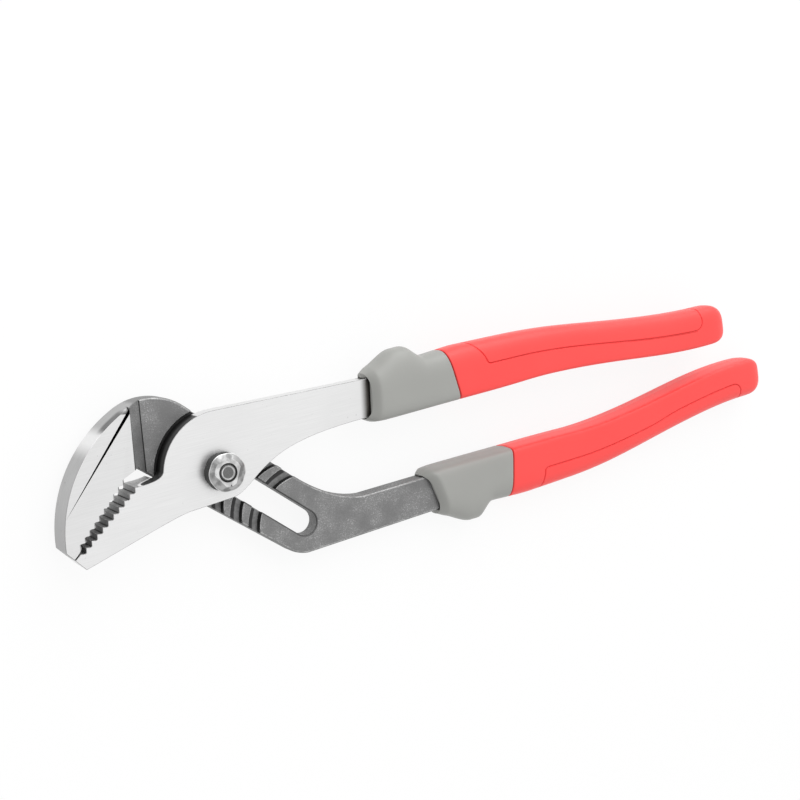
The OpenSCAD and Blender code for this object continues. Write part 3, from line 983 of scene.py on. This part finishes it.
def skinRings(pieceName, rings, capFirst, easedRow):
    # a circle is extruded once for each ring, and every ring is then moved to its place
    count = len(rings[0])
    deselectAll()
    bpy.ops.mesh.primitive_circle_add(vertices=count, radius=10 * mm)
    piece = bpy.context.object
    piece.name = pieceName
    bpy.ops.object.mode_set(mode="EDIT")
    bpy.ops.mesh.select_all(action="SELECT")
    for step in range(len(rings) - 1):
        bpy.ops.mesh.extrude_edges_move()
    mesh = bmesh.from_edit_mesh(piece.data)
    mesh.verts.ensure_lookup_table()
    for row, ring in enumerate(rings):
        for index, point in enumerate(ring):
            mesh.verts[row * count + index].co = point
    for edge in mesh.edges:
        edge.seam = {vertex.index // count for vertex in edge.verts} == {easedRow}
    if capFirst:
        mesh.faces.new(mesh.verts[index] for index in range(count))
    bmesh.update_edit_mesh(piece.data)
    bpy.ops.mesh.select_all(action="SELECT")
    bpy.ops.mesh.remove_doubles(threshold=meshSizes["weld"] * mm)
    bpy.ops.mesh.normals_make_consistent(inside=False)
    return piece


def easeSeams(piece):
    # rounds the edges that were marked as seams
    pick(piece, "EDGE", lambda edge: edge.seam)
    bevelSelected(gripSizes["jointEase"], gripSizes["easeSegments"])
    bpy.ops.mesh.mark_seam(clear=True)


def sinkSelected(depth):
    # pushes the selected faces in and rounds the rim that is left round them, painting the rim a deeper red
    # as painted shade in the groove
    bpy.ops.mesh.extrude_region_shrink_fatten(TRANSFORM_OT_shrink_fatten={"value": -depth * mm})
    bpy.ops.mesh.select_more()
    bpy.ops.mesh.region_to_loop()
    bevelSelected(padSizes["ease"], gripSizes["easeSegments"], numbered(redFinishes)["seam"])


def spaced(first, last, count):
    return [first + (last - first) * index / count for index in range(count + 1)]


collarSizes = {
    "columns": 160, "rows": 34, "rimRows": (0.0, 0.12, 0.4, 0.8, 1.3, 1.9, 2.6),
    "pocket": ((20.0, 0.2), (7.0, 0.25), (2.5, 0.4), (0.5, 0.55), (0.0, 0.62))}  # place and play


def makeCollar(grip):
    s, q = gripSizes, collarSizes
    last = s["collar"] - s["jointGap"]
    outer = [*q["rimRows"], *spaced(s["rimRun"], last, q["rows"])]
    inner = ((last, s["pocketPlay"]), *q["pocket"])
    rings = [fullRing(x, q["columns"], grip) for x in outer]
    rings += [pocketRing(x, q["columns"], grip, play) for x, play in inner]
    rings.append(rings[0])
    piece = skinRings(grip["name"] + "Collar", rings, False, len(outer) - 1)
    easeSeams(piece)
    paint(piece, {"collar": greyGrip})
    smoothShade(piece, s["smoothAngle"])
    keepWithin(piece, cadBox)
    settle(piece, grip["body"], grip["name"] + "_collar")


def seamRun(x, grip):
    # length along the section from its outer side to the pad's edge
    s = gripSizes
    held = min(x, s["length"] - s["endRun"])
    bend = ease((held - grip["seamBend"]) / grip["seamBendRun"])
    section = sectionAt(held)
    share = section.runTo(grip["seamFirst"] + (grip["seamLast"] - grip["seamFirst"]) * bend) / section.length
    return share * sectionAt(x).length


def roundedCorner(a, b, radius):
    # a and b are the distances inside the pad from its end and from its edge
    c, d = radius - a, radius - b
    if c <= 0 or d <= 0:
        return a, b
    widest = max(c, d)
    turn = widest / math.hypot(c, d)
    if widest > radius:
        turn = 1 + (turn - 1) * max(0.0, 2 - widest / radius)
    return radius - c * turn, radius - d * turn


def padPoint(x, inside, back, grip):
    # inside is the distance from the pad's edge towards its middle, along the surface
    p = padSizes
    if x - p["start"] < p["end"] - x:
        fromStart, inside = roundedCorner(x - p["start"], inside, p["startCorner"])
        x = p["start"] + fromStart
    else:
        fromEnd, inside = roundedCorner(p["end"] - x, inside, p["endCorner"])
        x = p["end"] - fromEnd
    return surfacePoint(x, seamRun(x, grip) - inside, back, grip)


sleeveSizes = {
    "columns": 46, "frontRows": 12, "backRows": 6, "endRows": 12,
    "pocketRows": (125.0, 100.0, 75.0, 55.0), "pocketPast": 1.0}
redFinishes = {"grip": redGrip, "seam": seamShadeRed}


def sleeveRing(x, grip):
    p = padSizes
    seam, length = seamRun(x, grip), sectionAt(x).length
    insides = spaced(seam, -p["gap"], p["columns"])
    insides += spaced(-p["gap"], seam - length, sleeveSizes["columns"])[1:]
    points = [padPoint(x, inside, False, grip) for inside in insides]
    return points + [padPoint(x, inside, True, grip) for inside in insides[-2:0:-1]]


def makeSleeve(grip):
    s, p, q = gripSizes, padSizes, sleeveSizes
    count = 2 * (p["columns"] + q["columns"])
    front, padFirst, padLast = s["collar"] + s["jointGap"], p["start"] - p["gap"], p["end"] + p["gap"]
    roundStart = s["length"] - s["endRun"]
    rows = spaced(front, padFirst, q["frontRows"])
    rows += spaced(padFirst, padLast, p["rows"])[1:]
    rows += spaced(padLast, roundStart, q["backRows"])[1:]
    rows += [roundStart + s["endRun"] * math.sin(math.pi / 2 * index / q["endRows"]) ** (2 / s["endPower"])
             for index in range(1, q["endRows"] + 1)]
    pocket = (s["tangLength"] + q["pocketPast"], *q["pocketRows"], front)
    rings = [pocketRing(x, count, grip, s["pocketPlay"]) for x in pocket]
    rings += [sleeveRing(x, grip) for x in rows]
    piece = skinRings(grip["name"] + "Sleeve", rings, True, len(pocket))
    firstRow = len(pocket) + q["frontRows"]
    lastRow = firstRow + p["rows"]

    def underPad(face):
        places = [divmod(vertex.index, count) for vertex in face.verts]
        return all(firstRow <= row <= lastRow and (column <= p["columns"] or column >= count - p["columns"])
                   for row, column in places)

    pick(piece, "FACE", underPad)
    paint(piece, redFinishes)
    sinkSelected(p["depth"])
    easeSeams(piece)
    smoothShade(piece, s["smoothAngle"])
    settle(piece, grip["body"], grip["name"] + "_sleeve")


def makePalmPad(grip):
    s, p = gripSizes, padSizes
    rows = spaced(p["start"] + p["gap"], p["end"] - p["gap"], p["rows"])
    columns = 2 * p["columns"]
    deselectAll()
    bpy.ops.mesh.primitive_grid_add(x_subdivisions=columns, y_subdivisions=p["rows"], size=20 * mm)
    piece = bpy.context.object
    piece.name = grip["name"] + "PalmPad"
    bpy.ops.object.mode_set(mode="EDIT")
    mesh = bmesh.from_edit_mesh(piece.data)
    mesh.verts.ensure_lookup_table()
    for row, x in enumerate(rows):
        seam = seamRun(x, grip)
        for column in range(columns + 1):
            share = abs(column / p["columns"] - 1)
            point = padPoint(x, seam - (seam - p["gap"]) * share, column < p["columns"], grip)
            mesh.verts[row * (columns + 1) + column].co = point
    mesh.normal_update()
    inward = sum(face.normal.y * grip["side"] for face in mesh.faces) < 0
    bmesh.update_edit_mesh(piece.data)
    bpy.ops.mesh.select_mode(type="FACE")
    bpy.ops.mesh.select_all(action="SELECT")
    if inward:
        bpy.ops.mesh.flip_normals()
    paint(piece, redFinishes)
    sinkSelected(p["thickness"])
    bpy.ops.mesh.select_all(action="SELECT")
    bpy.ops.mesh.normals_make_consistent(inside=False)
    smoothShade(piece, s["smoothAngle"])
    settle(piece, grip["body"], grip["name"] + "_palm_pad")


for grip in (upperGrip, lowerGrip):
    makeCollar(grip)
    makeSleeve(grip)
    makePalmPad(grip)
    print(grip["name"], "grip made")


# floor, light and camera, in metres

stageSizes = {"floor": 8.0, "floorAt": (0.1, 0.0, -0.00005), "floorColor": 0.88, "shadow": 0.11,
              "sky": 0.95, "dim": 0.40, "dimFrom": 0.55, "dimTo": -0.35}
lamps = {
    "top_lamp": {"place": (0.2, 0.8, 0.8), "target": (0.08, 0.0, 0.0), "size": 1.0, "power": 5.6},
    "side_lamp": {"place": (0.75, 1.15, 0.42), "target": (0.15, 0.0, 0.01), "size": 0.9, "power": 4.0}}
cameraSizes = {"place": (-0.15650, 0.09027, 0.42269), "turn": (-4.7387, -30.7776, -10.2963),
               "lens": 57.0, "sensor": 36.0, "clipStart": 0.01}


def makeFloor():
    s = stageSizes
    deselectAll()
    bpy.ops.mesh.primitive_plane_add(size=s["floor"], location=s["floorAt"])
    floor = bpy.context.object
    floor.name = "floor"
    finish = Finish("pale_floor", Base_Color=grey(s["floorColor"]), Roughness=0.9)
    seen = finish.node("ShaderNodeLightPath", out="Is Camera Ray")
    for ray in ("Is Glossy Ray", "Is Transmission Ray"):
        seen = seen + finish.node("ShaderNodeLightPath", out=ray)
    glow = finish.node("ShaderNodeEmission", sockets={"Color": grey(1.0), "Strength": 1.0})
    mixed = finish.node("ShaderNodeMixShader", sockets={0: seen.clamped() * (1 - s["shadow"])})
    mixNode = mixed.socket.node
    finish.tree.links.new(finish.shader.outputs[0], mixNode.inputs[1])
    finish.tree.links.new(glow.socket, mixNode.inputs[2])
    finish.tree.links.new(mixNode.outputs[0], finish.tree.nodes["Material Output"].inputs["Surface"])
    paint(floor, {"floor": finish})


def makeSky():
    # even white sky, dimmer low down beyond the jaws
    s = stageSizes
    world = bpy.data.worlds.new("studio")
    bpy.context.scene.world = world
    world.use_nodes = True
    sky = Nodes(world.node_tree, "Generated")
    x, y, z = sky.coordinates("XYZ")
    lit = sky.between(x * 0.55 + y * y * 0.4 + z * 0.7, s["dimTo"], s["dimFrom"])
    sky.give(sky.tree.nodes["Background"], {
        "Color": sky.mix(lit, grey(s["dim"]), grey(1.0)), "Strength": s["sky"]})


def addLamp(name, s):
    deselectAll()
    bpy.ops.object.light_add(type="AREA", location=s["place"])
    lamp = bpy.context.object
    lamp.name = name
    lamp.data.shape = "SQUARE"
    lamp.data.size = s["size"]
    lamp.data.energy = s["power"]
    lamp.rotation_euler = (Vector(s["target"]) - Vector(s["place"])).to_track_quat("-Z", "Y").to_euler()


def makeCamera():
    s = cameraSizes
    deselectAll()
    bpy.ops.object.camera_add(location=s["place"], rotation=[math.radians(angle) for angle in s["turn"]])
    camera = bpy.context.object
    camera.data.lens = s["lens"]
    camera.data.sensor_width = s["sensor"]
    camera.data.clip_start = s["clipStart"]
    bpy.context.scene.camera = camera


makeFloor()
makeSky()
for lampName, lampSizes in lamps.items():
    addLamp(lampName, lampSizes)
makeCamera()
bpy.context.scene.view_settings.view_transform = "Standard"
print("stage made")
